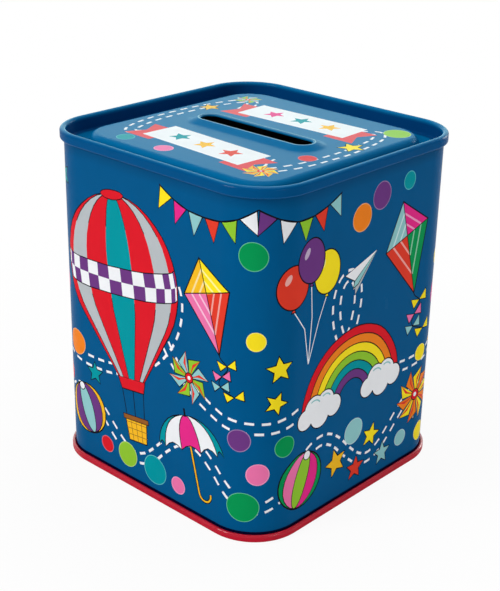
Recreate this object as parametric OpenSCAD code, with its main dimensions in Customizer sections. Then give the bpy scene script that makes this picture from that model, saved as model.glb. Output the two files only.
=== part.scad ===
// Square tin money box: a printed tinplate sleeve, a blue top end with a coin slot,
// a red base end with an outlet hole, and a push-in plastic stopper.
// Millimetres, +Z up, origin at the middle of the underside. The big picture side
// faces -Y, and the coin slot runs along X.

/* [Body] */
// Width of the sleeve across its flats, outside
body_w = 82.72; // [70:0.1:100]
// Radius of the sleeve's upright corners, outside
corner_r = 14.2; // [12:0.1:20]
// Height of the whole box, rim to rim
total_h = 100; // [60:0.5:140]
// Thickness of the tinplate
tin_t = 0.3; // [0.24:0.01:0.36]

/* [Double seams] */
// Height of the rolled band at the top
seam_h = 3; // [2.8:0.1:4]
// Height of the rolled band at the base
base_seam_h = 2.2; // [2.1:0.1:3.4]
// Clearance between the layers of a seam
seam_gap = 0.08; // [0.05:0.01:0.12]
// Inside radius of the two bends at the crest of the base's band, which stands on the flat between
rim_r = 0.3; // [0.2:0.05:0.4]
// Clearance past the tip of each folded hook
hook_clear = 0.2; // [0.1:0.05:0.3]
// Depth of the channel inside the band, below its crest
chuck_depth = 4.4; // [4:0.1:7]
// Inside radius at the foot of the channel's outer wall
foot_r = 0.6; // [0.4:0.1:1]

/* [Side seam] */
// Place of the folded seam on the back wall, from the middle
lock_x = 24; // [0:0.5:26]
// Width of the fold
lock_w = 3.4; // [2.6:0.1:4.5]
// Clearance between the fold's layers
lock_gap = 0.05; // [0.03:0.01:0.08]
// Length of the step beside the fold
lock_step = 1.3; // [1.2:0.1:2]
// Distance that the fold stops short of each end's channel
lock_stop = 0.6; // [0.4:0.1:2]

/* [Top panel] */
// Width of the raised panel's flat
panel_w = 66; // [60:0.5:68]
// Corner radius of the raised panel's flat
panel_r = 8; // [6:0.5:12]
// Depth of the panel's flat below the rim
panel_drop = 1.65; // [1.4:0.05:2.4]
// Slope of the panel's edge, in degrees
panel_slope = 65; // [50:1:75]
// Radius of the panel's upper edge
panel_edge_r = 2.2; // [1.5:0.1:2.2]
// Radius at the foot of the panel's edge
panel_foot_r = 1; // [0.6:0.1:1.2]

/* [Coin slot] */
// Length of the slot
slot_l = 40; // [32:0.5:44]
// Width of the slot
slot_w = 6; // [5:0.1:8]
// Height of the slot's lip above the panel
lip_h = 1.1; // [0.8:0.05:1.3]
// Slope of the lip, in degrees
lip_slope = 22; // [18:1:26]
// Radius of the lip's crown, on its outer side
lip_crown_r = 1.5; // [1:0.1:2]
// Radius at the foot of the lip
lip_foot_r = 3; // [2:0.1:4]
// Inside radius of the bend into the slot
turn_r = 0.25; // [0.2:0.05:0.4]
// Depth of the edge that is turned down into the slot
turn_depth = 0.7; // [0.7:0.1:2.5]

/* [Base panel] */
// Width of the base panel's flat
base_w = 60; // [58:0.5:64]
// Corner radius of the base panel's flat
base_r = 8; // [6:0.5:12]
// Height of the base panel's step below the channel
base_step = 1; // [0.8:0.05:1.3]
// Slope of the base's steps, in degrees
base_slope = 50; // [40:1:60]
// Bend radius of the base's steps
base_bend_r = 0.7; // [0.5:0.05:0.8]
// Depth of the round seat round the outlet hole
seat_depth = 1.8; // [1.6:0.05:2.4]

/* [Outlet and stopper] */
// Diameter of the outlet hole, inside its collar
hole_d = 38; // [34:0.5:40]
// Height of the collar round the hole, above the seat's sheet
collar_h = 1.8; // [1.2:0.1:3]
// Radial clearance between the stopper and the collar
plug_gap = 0.05; // [0.02:0.01:0.08]
// Diameter of the stopper's flange
flange_d = 45; // [43:0.5:46]
// Thickness of the flange
flange_t = 1.4; // [1.2:0.05:1.5]
// Radial room round the flange in its seat
flange_room = 0.5; // [0.3:0.05:0.8]
// Height of the stopper's skirt above its flange
skirt_h = 8; // [6:0.5:12]
// Thickness of the skirt
skirt_t = 1.5; // [1.2:0.1:2]
// Height of the lead-in taper at the skirt's free edge
taper_h = 2.5; // [1.5:0.1:3.5]
// Inset of the skirt's free edge by the taper
taper_in = 0.7; // [0.4:0.05:0.9]
// Diameter of the shallow dish in the flange
dish_d = 30; // [26:0.5:32]
// Depth of the dish
dish_depth = 0.5; // [0.3:0.05:0.6]
// Width of the fingernail notch in the flange
notch_w = 11; // [8:0.5:14]
// Depth of the notch, in from the flange's edge
notch_in = 2.4; // [1.8:0.1:2.6]

/* [Hidden] */
$fn = 96;
// Largest angle between neighbouring points of a bend in the sheet, in degrees
bend_step = 15;
// How far the flats of swept sections run on, and how far plates reach over them
lap = 0.6;
reach = lap / 2;

half_w = body_w / 2;
mid_t = tin_t / 2;
// Layers of a double seam: middles of the sheet, outwards from the sleeve's outer face
layer = tin_t + seam_gap;
chuck_x = -layer - mid_t;
end_hook_x = seam_gap + mid_t;
body_hook_x = end_hook_x + layer;
outer_x = body_hook_x + layer;
// Bends of a double seam, at the middle of the sheet; the top's crest is fully round
top_crest_bend = hairpin(outer_x - chuck_x);
base_crest_bend = rim_r + mid_t;
end_hook_bend = hairpin(outer_x - end_hook_x);
body_hook_bend = hairpin(body_hook_x + mid_t);
body_crest = tin_t + seam_gap + mid_t;
end_hook_top = body_crest + body_hook_bend + hook_clear;
// Where the channel's floor starts, inwards from the sleeve's outer face
channel_x = chuck_x - foot_r - mid_t;
// Side seam: pitch of its layers, radius of its folds, and how far it stops short of each end
lock_pitch = tin_t + lock_gap;
fold_bend = hairpin(2 * lock_pitch);
fold_out = fold_bend + mid_t;
lock_end = chuck_depth + tin_t + lock_stop;
// Depths of the outer faces, measured in from each end's crest
panel_rise = chuck_depth - panel_drop;
base_z = chuck_depth - base_step;
seat_z = base_z + seat_depth;
// Turned edges, at the middle of the sheet
turn_bend = turn_r + mid_t;
// Seat and stopper
seat_r = flange_d / 2 + flange_room;
plug_r = hole_d / 2 - plug_gap;
inner_r = plug_r - skirt_t;
// Plan length of each step in the sheet
panel_run = step_run(panel_rise, panel_foot_r, panel_edge_r, panel_slope);
lip_run = step_run(lip_h, lip_foot_r, lip_crown_r, lip_slope);
base_run = step_run(base_step, base_bend_r, base_bend_r, base_slope);
seat_run = step_run(seat_depth, base_bend_r, base_bend_r, base_slope);
lip_out = turn_r + tin_t + lip_run;

// ---- bent sheet ----
// A sheet's section is a path of [x, y, bend radius], all at the middle of the sheet.

// Bend radius of a sheet folded back on itself, with its two legs a pitch apart
function hairpin(pitch) = 0.49 * pitch;

function along(a, b) = let (v = [b[0] - a[0], b[1] - a[1]]) v / norm(v);

function turned(v, angle) = [
    v[0] * cos(angle) - v[1] * sin(angle),
    v[0] * sin(angle) + v[1] * cos(angle)
];

// Points round bend i, on the face that lies a distance side to the left of the path
function bend_points(path, i, side) =
    let (
        before = along(path[i - 1], path[i]),
        after = along(path[i], path[i + 1]),
        angle = atan2(
            before[0] * after[1] - before[1] * after[0],
            before * after
        ),
        inward = sign(angle) * [-before[1], before[0]],
        r = path[i][2],
        centre = [path[i][0], path[i][1]] - r * tan(abs(angle) / 2) * before + r * inward,
        steps = ceil(abs(angle) / bend_step)
    )
    [for (k = [0:steps]) centre - (r - sign(angle) * side) * turned(inward, angle * k / steps)];

function end_point(a, b, at, side) =
    let (v = along(a, b)) [at[0] - side * v[1], at[1] + side * v[0]];

// One face of the sheet, from the path's first point to its last
function face_points(path, side) =
    let (last = len(path) - 1)
    concat(
        [end_point(path[0], path[1], path[0], side)],
        [for (i = [1:last - 1]) each bend_points(path, i, side)],
        [end_point(path[last - 1], path[last], path[last], side)]
    );

function reversed(list) = [for (i = [len(list) - 1:-1:0]) list[i]];

module sheet(path) {
    polygon(concat(face_points(path, mid_t), reversed(face_points(path, -mid_t))));
}

// Plan length of a step in the sheet; the radii are those of its upper face
function step_run(rise, r_low, r_high, slope) =
    (r_low + r_high) * tan(slope / 2) + rise / tan(slope);

// The two bends of a step that starts at x and rises towards +x from the level low
function step_path(x, low, rise, r_low, r_high, slope) =
    let (foot = x + (r_low + mid_t) * tan(slope / 2))
    [
        [foot, low - mid_t, r_low + mid_t],
        [foot + rise / tan(slope), low + rise - mid_t, r_high - mid_t]
    ];

// The same step, mirrored so that it rises towards -x
function falling_path(x, low, rise, r_low, r_high, slope) = [
    for (p = step_path(-x, low, rise, r_low, r_high, slope)) [-p[0], p[1], p[2]]
];

// ---- sections, drawn with x outwards and y up, the end's crest at y = 0 ----

// An end: hook, outer wall, crest, channel wall, and the start of the channel's floor
module end_seam_section(band_h, crest_bend) {
    sheet([
        [end_hook_x, -end_hook_top, 0],
        [end_hook_x, -band_h + mid_t, end_hook_bend],
        [outer_x, -band_h + mid_t, end_hook_bend],
        [outer_x, -mid_t, crest_bend],
        [chuck_x, -mid_t, crest_bend],
        [chuck_x, -chuck_depth - mid_t, foot_r + mid_t],
        [channel_x - lap, -chuck_depth - mid_t, 0]
    ]);
}

// How far the sleeve's hook reaches in from the crest of a band
function hook_end(band_h) = band_h - tin_t - hook_clear;

// The sleeve: its wall, and the hook at each end
module sleeve_section() {
    sheet([
        [body_hook_x, total_h - hook_end(seam_h), 0],
        [body_hook_x, total_h - body_crest, body_hook_bend],
        [-mid_t, total_h - body_crest, body_hook_bend],
        [-mid_t, body_crest, body_hook_bend],
        [body_hook_x, body_crest, body_hook_bend],
        [body_hook_x, hook_end(base_seam_h), 0]
    ]);
}

// The raised panel's edge, with x = 0 at its foot
module panel_edge_section() {
    rise = step_path(0, -chuck_depth, panel_rise, panel_foot_r, panel_edge_r, panel_slope);
    mirror([1, 0])
        sheet(concat(
            [[-lap, -chuck_depth - mid_t, 0]],
            rise,
            [[panel_run + lap, -panel_drop - mid_t, 0]]
        ));
}

// The slot's lip and the edge turned down inside it, with x = 0 at the slot's wall
module lip_section() {
    top = lip_h - panel_drop;
    sheet(concat(
        [[lip_out + lap, -panel_drop - mid_t, 0]],
        falling_path(lip_out, -panel_drop, lip_h, lip_foot_r, lip_crown_r, lip_slope),
        [
            [mid_t, top - mid_t, turn_bend],
            [mid_t, top - turn_depth, 0]
        ]
    ));
}

// The base panel's edge, with x = 0 at its foot
module base_edge_section() {
    rise = step_path(0, -chuck_depth, base_step, base_bend_r, base_bend_r, base_slope);
    mirror([1, 0])
        sheet(concat(
            [[-lap, -chuck_depth - mid_t, 0]],
            rise,
            [[base_run + lap, -base_z - mid_t, 0]]
        ));
}

// The collar round the outlet and the stopper's seat, with x = 0 on the outlet's axis
module seat_section() {
    collar_x = hole_d / 2 + mid_t;
    rise = step_path(seat_r, -seat_z, seat_depth, base_bend_r, base_bend_r, base_slope);
    sheet(concat(
        [
            [collar_x, -seat_z - tin_t - collar_h, 0],
            [collar_x, -seat_z - mid_t, turn_bend]
        ],
        rise,
        [[seat_r + seat_run + lap, -base_z - mid_t, 0]]
    ));
}

// The side seam's outer edge in plan: x along the wall, y inwards from its outer face
module outer_fold_section() {
    sheet([
        [reach, mid_t, 0],
        [-lock_w + mid_t, mid_t, fold_bend],
        [-lock_w + mid_t, 2 * lock_pitch + mid_t, fold_bend],
        [-fold_out, 2 * lock_pitch + mid_t, 0]
    ]);
}

// The side seam's inner edge: stepped in behind the outer one, then folded round its tip
module inner_fold_section() {
    step_end = -lock_w - lock_gap;
    sheet([
        [step_end - lock_step - 2 * reach, mid_t, 0],
        [step_end - lock_step, mid_t, mid_t],
        [step_end, 3 * lock_pitch + mid_t, mid_t],
        [-mid_t, 3 * lock_pitch + mid_t, fold_bend],
        [-mid_t, lock_pitch + mid_t, fold_bend],
        [-lock_w + fold_out, lock_pitch + mid_t, 0]
    ]);
}

// ---- plans and sweeps ----

module rounded_square(half, r) {
    square([2 * half, 2 * (half - r)], center = true);
    square([2 * (half - r), 2 * half], center = true);
    for (x = [-1, 1], y = [-1, 1])
        translate([x * (half - r), y * (half - r)])
            circle(r = r);
}

module slot_plan(grow) {
    straight = slot_l - slot_w;
    square([straight, slot_w + 2 * grow], center = true);
    for (x = [-1, 1])
        translate([x * straight / 2, 0])
            circle(d = slot_w + 2 * grow);
}

// Sweeps a section round a rounded square; x = 0 in the section is on the outline
module round_square(half, r) {
    for (turn = [0:90:270])
        rotate([0, 0, turn]) {
            translate([half, half - r, 0])
                rotate([90, 0, 0])
                    linear_extrude(height = 2 * (half - r))
                        children();
            translate([half - r, half - r, 0])
                rotate_extrude(angle = 90)
                    translate([r, 0])
                        children();
        }
}

// Sweeps a section round the slot; x = 0 in the section is on the slot's wall
module round_slot() {
    straight = slot_l - slot_w;
    for (turn = [0, 180])
        rotate([0, 0, turn]) {
            translate([straight / 2, -slot_w / 2, 0])
                rotate([90, 0, -90])
                    linear_extrude(height = straight)
                        children();
            translate([straight / 2, 0, 0])
                rotate([0, 0, -90])
                    rotate_extrude(angle = 180)
                        translate([slot_w / 2, 0])
                            children();
        }
}

// A flat sheet with its upper face at z, in the shape of the first child less the second
module plate(z) {
    translate([0, 0, z - tin_t])
        linear_extrude(height = tin_t)
            difference() {
                children(0);
                children(1);
            }
}

// ---- pieces ----

// Rim and channel that both ends have, down to the foot of a panel
module end_rim(band_h, crest_bend, foot_half, foot_corner) {
    round_square(half_w, corner_r)
        end_seam_section(band_h, crest_bend);
    plate(-chuck_depth) {
        rounded_square(half_w + channel_x - reach, corner_r + channel_x - reach);
        rounded_square(foot_half + reach, foot_corner + reach);
    }
}

module top_end() {
    foot_half = panel_w / 2 + panel_run;
    foot_corner = panel_r + panel_run;
    color([0.02, 0.33, 0.6])
        translate([0, 0, total_h]) {
            end_rim(seam_h, top_crest_bend, foot_half, foot_corner);
            round_square(foot_half, foot_corner)
                panel_edge_section();
            plate(-panel_drop) {
                rounded_square(panel_w / 2 - reach, panel_r - reach);
                slot_plan(lip_out + reach);
            }
            round_slot()
                lip_section();
        }
}

module base_end() {
    foot_half = base_w / 2 + base_run;
    foot_corner = base_r + base_run;
    color([0.78, 0.1, 0.18])
        mirror([0, 0, 1]) {
            end_rim(base_seam_h, base_crest_bend, foot_half, foot_corner);
            round_square(foot_half, foot_corner)
                base_edge_section();
            plate(-base_z) {
                rounded_square(base_w / 2 - reach, base_r - reach);
                circle(r = seat_r + seat_run + reach);
            }
            rotate_extrude()
                seat_section();
        }
}

module body_sleeve() {
    seam_span = total_h - 2 * lock_end;
    step_w = lock_step + lock_gap + fold_out;
    color([0.05, 0.4, 0.66]) {
        difference() {
            round_square(half_w, corner_r)
                sleeve_section();
            translate([lock_x - lock_w + fold_out - step_w, half_w - 2 * tin_t, lock_end])
                cube([step_w, 3 * tin_t, seam_span]);
        }
        translate([lock_x, half_w, lock_end])
            mirror([0, 1, 0])
                linear_extrude(height = seam_span) {
                    outer_fold_section();
                    inner_fold_section();
                }
    }
}

// The stopper's section: flange, dish, skirt and lead-in taper
module stopper_section() {
    polygon([
        [0, dish_depth],
        [dish_d / 2 - dish_depth, dish_depth],
        [dish_d / 2, 0],
        [flange_d / 2 - dish_depth, 0],
        [flange_d / 2, dish_depth],
        [flange_d / 2, flange_t],
        [plug_r, flange_t],
        [plug_r, flange_t + skirt_h - taper_h],
        [plug_r - taper_in, flange_t + skirt_h],
        [inner_r, flange_t + skirt_h],
        [inner_r, flange_t],
        [0, flange_t]
    ]);
}

module base_stopper() {
    color([0.12, 0.12, 0.13])
        translate([0, 0, seat_z - flange_t])
            difference() {
                rotate_extrude()
                    stopper_section();
                translate([-notch_w / 2, -flange_d / 2 - notch_in, -flange_t])
                    cube([notch_w, 2 * notch_in, 3 * flange_t]);
            }
}

body_sleeve();
top_end();
base_end();
base_stopper();
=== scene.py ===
"""Looks of the square tin money box: printed sleeve, blue top, red base and stopper.

Shapes are worked out in millimetres and scaled to metres when a piece is finished.
Plane points, of sheet sections and of the print, are complex numbers.
"""

import cmath
import math
import random

import bmesh
import bpy
from mathutils import Matrix, Vector, noise
from mathutils.geometry import delaunay_2d_cdt


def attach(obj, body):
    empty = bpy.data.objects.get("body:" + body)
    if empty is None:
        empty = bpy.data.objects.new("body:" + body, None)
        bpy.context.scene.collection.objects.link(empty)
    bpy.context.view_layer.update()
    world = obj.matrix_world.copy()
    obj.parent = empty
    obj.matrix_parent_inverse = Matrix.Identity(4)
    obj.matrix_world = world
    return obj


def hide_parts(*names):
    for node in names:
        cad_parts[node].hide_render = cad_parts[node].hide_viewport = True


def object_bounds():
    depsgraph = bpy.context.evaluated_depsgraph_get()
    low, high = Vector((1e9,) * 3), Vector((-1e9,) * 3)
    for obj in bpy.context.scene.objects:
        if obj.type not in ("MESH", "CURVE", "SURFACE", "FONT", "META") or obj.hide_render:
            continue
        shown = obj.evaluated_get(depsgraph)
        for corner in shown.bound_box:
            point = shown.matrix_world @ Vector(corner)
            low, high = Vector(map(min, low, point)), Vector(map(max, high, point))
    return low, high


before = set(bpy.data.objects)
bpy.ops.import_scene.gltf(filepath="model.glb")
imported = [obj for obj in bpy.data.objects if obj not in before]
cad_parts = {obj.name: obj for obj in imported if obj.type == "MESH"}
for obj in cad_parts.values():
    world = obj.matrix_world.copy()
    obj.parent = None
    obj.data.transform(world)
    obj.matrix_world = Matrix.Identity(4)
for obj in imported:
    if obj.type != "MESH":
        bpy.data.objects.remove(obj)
cad_box = [list(corner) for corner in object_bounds()]

MM = 0.001

# ---- driving dimensions, in millimetres ----

HEIGHT = cad_box[1][2] / MM
OVERALL_HALF = cad_box[1][0] / MM
TIN = 0.3
SEAM_GAP = 0.08
LAYER = TIN + SEAM_GAP
HALF = OVERALL_HALF - 3 * LAYER
CORNER_R = 14.2
SEAM_H = 3
BASE_SEAM_H = 2.2
RIM_R = 0.3
CHANNEL_DEPTH = 4.4
FOOT_R = 0.6

PANEL_W = 66
PANEL_R = 8
PANEL_DROP = 1.65
PANEL_SLOPE = math.radians(65)
PANEL_EDGE_R = 2.2
PANEL_FOOT_R = 1

SLOT_L = 40
SLOT_W = 6
LIP_H = 1.1
LIP_SLOPE = math.radians(22)
LIP_CROWN_R = 1.5
LIP_FOOT_R = 3
TURN_R = 0.25
TURN_DEPTH = 0.7
SLOT_STRAIGHT = (SLOT_L - SLOT_W) / 2

BASE_W = 60
BASE_R = 8
BASE_STEP = 1
BASE_SLOPE = math.radians(50)
BASE_BEND_R = 0.7
SEAT_DEPTH = 1.8
HOLE_R = 19
COLLAR_H = 1.8
FLANGE_R = 22.5
FLANGE_T = 1.4
FLANGE_ROOM = 0.5
SKIRT_H = 8
SKIRT_T = 1.5
PLUG_GAP = 0.05
TAPER_H = 2.5
TAPER_IN = 0.7
DISH_R = 15
DISH_DEPTH = 0.5
NOTCH_W = 11
NOTCH_IN = 2.4
PLUG_EDGE = 0.12

# The folded side seam on the back wall
LOCK_X = 24
LOCK_W = 3.4
LOCK_STEP = 1.3
LOCK_END = CHANNEL_DEPTH + TIN + 0.6

# Fineness of the curved shapes: steps in a corner, and the most that one step of a bend turns
CORNER_STEPS = 20
BEND_STEP = math.radians(15)

# Stand-off of the printed film from the tin
FILM = 0.03

MID = TIN / 2
CHUCK_X = -LAYER - MID
END_HOOK_X = SEAM_GAP + MID
BODY_HOOK_X = END_HOOK_X + LAYER
OUTER_X = BODY_HOOK_X + LAYER
CHANNEL_X = CHUCK_X - FOOT_R - MID
# A bend of nearly half the width between two legs turns them back on each other
HAIRPIN = 0.49
TOP_CREST_BEND = HAIRPIN * (OUTER_X - CHUCK_X)
BASE_CREST_BEND = RIM_R + MID
HOOK_BEND = HAIRPIN * LAYER * 2
HOOK_TOP = TIN + SEAM_GAP + MID + HOOK_BEND + 0.2
PANEL_RISE = CHANNEL_DEPTH - PANEL_DROP
BASE_Z = CHANNEL_DEPTH - BASE_STEP
SEAT_Z = BASE_Z + SEAT_DEPTH
SEAT_R = FLANGE_R + FLANGE_ROOM


def step_run(rise, r_low, r_high, slope):
    """Distance across a step, over both of its bends."""
    return (r_low + r_high) * math.tan(slope / 2) + rise / math.tan(slope)


PANEL_RUN = step_run(PANEL_RISE, PANEL_FOOT_R, PANEL_EDGE_R, PANEL_SLOPE)
LIP_RUN = step_run(LIP_H, LIP_FOOT_R, LIP_CROWN_R, LIP_SLOPE)
BASE_RUN = step_run(BASE_STEP, BASE_BEND_R, BASE_BEND_R, BASE_SLOPE)
LIP_OUT = TURN_R + TIN + LIP_RUN

# ---- bent sheet: a section is a path of (x, y, bend radius) at the middle of the tin ----


def unit(v):
    """The same direction at length 1."""
    return v / abs(v)


def sheet_face(path, side=0.0):
    """Points along the face that lies a distance side to the left of a path."""
    points = [complex(x, y) for x, y, r in path]
    radii = [r for x, y, r in path]
    found = [points[0] + side * 1j * unit(points[1] - points[0])]
    for i in range(1, len(points) - 1):
        before = unit(points[i] - points[i - 1])
        after = unit(points[i + 1] - points[i])
        turn = cmath.phase(after / before)
        way = math.copysign(1, turn)
        inward = way * 1j * before
        r = radii[i]
        centre = points[i] - r * math.tan(abs(turn) / 2) * before + r * inward
        steps = math.ceil(abs(turn) / BEND_STEP)
        arc = [cmath.rect(1, turn * k / steps) for k in range(steps + 1)]
        found += [centre - (r - way * side) * inward * spoke for spoke in arc]
    found.append(points[-1] + side * 1j * unit(points[-1] - points[-2]))
    return found


def step_path(x, low, rise, r_low, r_high, slope):
    """The two bends of a step that starts at x and rises towards +x."""
    foot = x + (r_low + MID) * math.tan(slope / 2)
    return [
        (foot, low - MID, r_low + MID),
        (foot + rise / math.tan(slope), low + rise - MID, r_high - MID),
    ]


def mirrored(path):
    """A path turned over left to right."""
    return [(-x, y, r) for x, y, r in path]


def end_seam(band_h, crest_bend):
    """Hook, outer wall, crest, channel wall and the start of the channel's floor."""
    return [
        (END_HOOK_X, -HOOK_TOP, 0),
        (END_HOOK_X, -band_h + MID, HOOK_BEND),
        (OUTER_X, -band_h + MID, HOOK_BEND),
        (OUTER_X, -MID, crest_bend),
        (CHUCK_X, -MID, crest_bend),
        (CHUCK_X, -CHANNEL_DEPTH - MID, FOOT_R + MID),
        (CHANNEL_X - 0.1, -CHANNEL_DEPTH - MID, 0),
    ]


PANEL_EDGE = mirrored(
    [(-0.1, -CHANNEL_DEPTH - MID, 0)]
    + step_path(0, -CHANNEL_DEPTH, PANEL_RISE, PANEL_FOOT_R, PANEL_EDGE_R, PANEL_SLOPE)
    + [(PANEL_RUN + 0.1, -PANEL_DROP - MID, 0)]
)
LIP_TOP = LIP_H - PANEL_DROP
LIP = (
    [(LIP_OUT + 0.1, -PANEL_DROP - MID, 0)]
    + mirrored(step_path(-LIP_OUT, -PANEL_DROP, LIP_H, LIP_FOOT_R, LIP_CROWN_R, LIP_SLOPE))
    + [(MID, LIP_TOP - MID, TURN_R + MID), (MID, LIP_TOP - TURN_DEPTH, 0)]
)
BASE_EDGE = mirrored(
    [(-0.1, -CHANNEL_DEPTH - MID, 0)]
    + step_path(0, -CHANNEL_DEPTH, BASE_STEP, BASE_BEND_R, BASE_BEND_R, BASE_SLOPE)
    + [(BASE_RUN + 0.1, -BASE_Z - MID, 0)]
)
SEAT_RUN = step_run(SEAT_DEPTH, BASE_BEND_R, BASE_BEND_R, BASE_SLOPE)
SEAT = (
    [
        (HOLE_R + MID, -SEAT_Z - TIN - COLLAR_H, 0),
        (HOLE_R + MID, -SEAT_Z - MID, TURN_R + MID),
    ]
    + step_path(SEAT_R, -SEAT_Z, SEAT_DEPTH, BASE_BEND_R, BASE_BEND_R, BASE_SLOPE)
    + [(SEAT_R + SEAT_RUN + 0.1, -BASE_Z - MID, 0)]
)

# ---- shader maths ----


class Signal:
    """A socket in a material's node tree, with arithmetic that adds Math nodes."""

    def __init__(self, tree, socket):
        self.tree = tree
        self.socket = socket

    def node(self, kind, settings=None, **values):
        """Adds a node, sets its settings, then its inputs; spaces in names are written _."""
        made = self.tree.nodes.new(kind)
        for key, value in (settings or {}).items():
            setattr(made, key, value)
        for key, value in values.items():
            name = key.replace("_", " ")
            wanted = int(name[3:]) if name.startswith("in ") else name
            socket = made.inputs[wanted]
            if isinstance(value, Signal):
                self.tree.links.new(value.socket, socket)
            else:
                socket.default_value = value
        return made

    def out(self, made, name=0):
        return Signal(self.tree, made.outputs[name])

    def math(self, operation, first, second=0.0):
        made = self.node("ShaderNodeMath", {"operation": operation}, in_0=first, in_1=second)
        return self.out(made)

    def __add__(self, other):
        return self.math("ADD", self, other)

    def __radd__(self, other):
        return self.math("ADD", other, self)

    def __sub__(self, other):
        return self.math("SUBTRACT", self, other)

    def __rsub__(self, other):
        return self.math("SUBTRACT", other, self)

    def __mul__(self, other):
        return self.math("MULTIPLY", self, other)

    def __rmul__(self, other):
        return self.math("MULTIPLY", other, self)

    def above(self, other):
        return self.math("GREATER_THAN", self, other)

    def axis(self, name):
        """One coordinate of a position."""
        return self.out(self.node("ShaderNodeSeparateXYZ", None, Vector=self), name)

    def clipped(self, low, high):
        """0 at low, 1 at high, held outside."""
        made = self.node("ShaderNodeMapRange", None, Value=self, From_Min=low, From_Max=high)
        return self.out(made)

    def past(self, base, span):
        """0 to 1 over a span of millimetres past a base, for a value in metres."""
        return self.clipped((base + span[0]) * MM, (base + span[1]) * MM)

    def blend(self, dark, light):
        """From one colour to another by this value."""
        made = self.node("ShaderNodeMix", {"data_type": "RGBA"}, in_0=self, in_6=dark, in_7=light)
        return self.out(made, 2)


def linear(red, green, blue):
    """A colour given as on screen, 0 to 255, as Blender wants it."""
    channels = [c / 255 for c in (red, green, blue)]
    return [c / 12.92 if c <= 0.04045 else ((c + 0.055) / 1.055) ** 2.4 for c in channels] + [1.0]


def new_material(name):
    """An empty principled material: (material, shader node, a Signal to build from)."""
    material = bpy.data.materials.new(name)
    material.use_nodes = True
    tree = material.node_tree
    shader = tree.nodes["Principled BSDF"]
    place = tree.nodes.new("ShaderNodeTexCoord")
    return material, shader, Signal(tree, place.outputs["Object"])


def feed(at, shader, **values):
    """Sets or links inputs of a shader; spaces in names are written _."""
    for key, value in values.items():
        socket = shader.inputs[key.replace("_", " ")]
        if isinstance(value, Signal):
            at.tree.links.new(value.socket, socket)
        else:
            socket.default_value = value


def grain(at, scale, detail, stretch=(1, 1, 1)):
    """Noise from 0 to 1 on object coordinates; scale is in repeats a metre."""
    mapped = at.out(at.node("ShaderNodeMapping", None, Vector=at, Scale=[scale * s for s in stretch]))
    return at.out(at.node("ShaderNodeTexNoise", None, Vector=mapped, Scale=1.0, Detail=detail))


def bump(at, height, distance):
    """A normal from a height of 0 to 1, which stands for a distance in metres."""
    return at.out(at.node("ShaderNodeBump", None, Height=height, Distance=distance, Strength=1.0))


# ---- finishes ----

INKS = {
    "ground": (0, 86, 138),
    "lid_ground": (0, 104, 157),
    # Painted shade: a darker blue for the sunk channel, and another for the band's outer face
    "channel": (2, 66, 120),
    "band": (0, 79, 133),
    "black": (16, 18, 24),
    "white": (242, 244, 247),
    "red": (222, 28, 42),
    "scarlet": (228, 62, 44),
    "orange": (244, 132, 34),
    "golden": (248, 190, 38),
    "yellow": (255, 230, 36),
    "lime": (146, 200, 52),
    "green": (8, 150, 82),
    "teal": (0, 150, 160),
    "aqua": (146, 202, 204),
    "silver": (184, 190, 194),
    "magenta": (232, 44, 138),
    "pink": (240, 118, 172),
    "purple": (110, 58, 130),
    "brown": (150, 92, 40),
    # Painted shade: dark navy under the top band and along the foot of the walls
    "shade_navy": (8, 8, 46),
}


def tinted(ink, share):
    """An ink let down with white."""
    return tuple(c + (255 - c) * share for c in INKS[ink])


# Height of the relief in each finish, in metres, and how much each reflects
VARNISH_RELIEF, VARNISH_GLOSS = 0.00006, 0.018
LACQUER_RELIEF, LACQUER_GLOSS = 0.00002, 0.12
PLASTIC_RELIEF, PLASTIC_GLOSS = 0.00003, 0.45
TIN_RELIEF = 0.00001
UNEVEN = 0.10


def varnish(at, shader, colour):
    """Ink under gloss varnish: a fine screen grain, slight pooling, and a sheet not quite flat."""
    screen = grain(at, 9000, 1.0)
    pooling = grain(at, 160, 3.0)
    waves = grain(at, 26, 1.0)
    shade = (screen - 0.5) * UNEVEN + (pooling - 0.5) * UNEVEN + 1.0
    toned = at.node("ShaderNodeMix", {"data_type": "RGBA", "blend_type": "MULTIPLY"}, in_0=1.0)
    at.tree.links.new(colour.socket, toned.inputs[6])
    grey = at.out(at.node("ShaderNodeCombineColor", None, Red=shade, Green=shade, Blue=shade))
    at.tree.links.new(grey.socket, toned.inputs[7])
    relief = waves + 0.02 * pooling
    feed(
        at,
        shader,
        Base_Color=at.out(toned, 2),
        Roughness=0.20 + 0.10 * pooling,
        Normal=bump(at, relief, VARNISH_RELIEF),
        Specular_IOR_Level=VARNISH_GLOSS,
    )


def corner_reach(at):
    """Metres outwards from the axis of a corner's bend, and at a wall straight across it."""
    straight = (HALF - CORNER_R) * MM
    across = at.math("MAXIMUM", at.math("ABSOLUTE", at.axis("X")) - straight, 0.0)
    along = at.math("MAXIMUM", at.math("ABSOLUTE", at.axis("Y")) - straight, 0.0)
    return at.math("SQRT", across * across + along * along)


# Where the finishes change, in millimetres: up from the foot of the top band, for the painted shade on the
# walls under it and the shine on its turn,
UNDER_BAND = (-3.5, 0)
BAND_TURN = (0.15, 0.6)
# up from the rim's crest, and down from it into the channel, which painted shade darkens,
CREST = (-0.9, -0.4)
CHANNEL_SUNK = (0.3, 1.3)
# up from the upper edge of the base's band,
RED_SHOULDER = (-0.9, -0.3)
# outwards from the sleeve's face, for the painted shade on the band's outer face and in the channel, and
# for the printed walls,
OUTER_SIDE = (0.4, 1.0)
CHANNEL_WALL = (-2.4, -1.2)
CHANNEL_SIDE = -0.4
PRINTED_SIDE = -1.0
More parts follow.
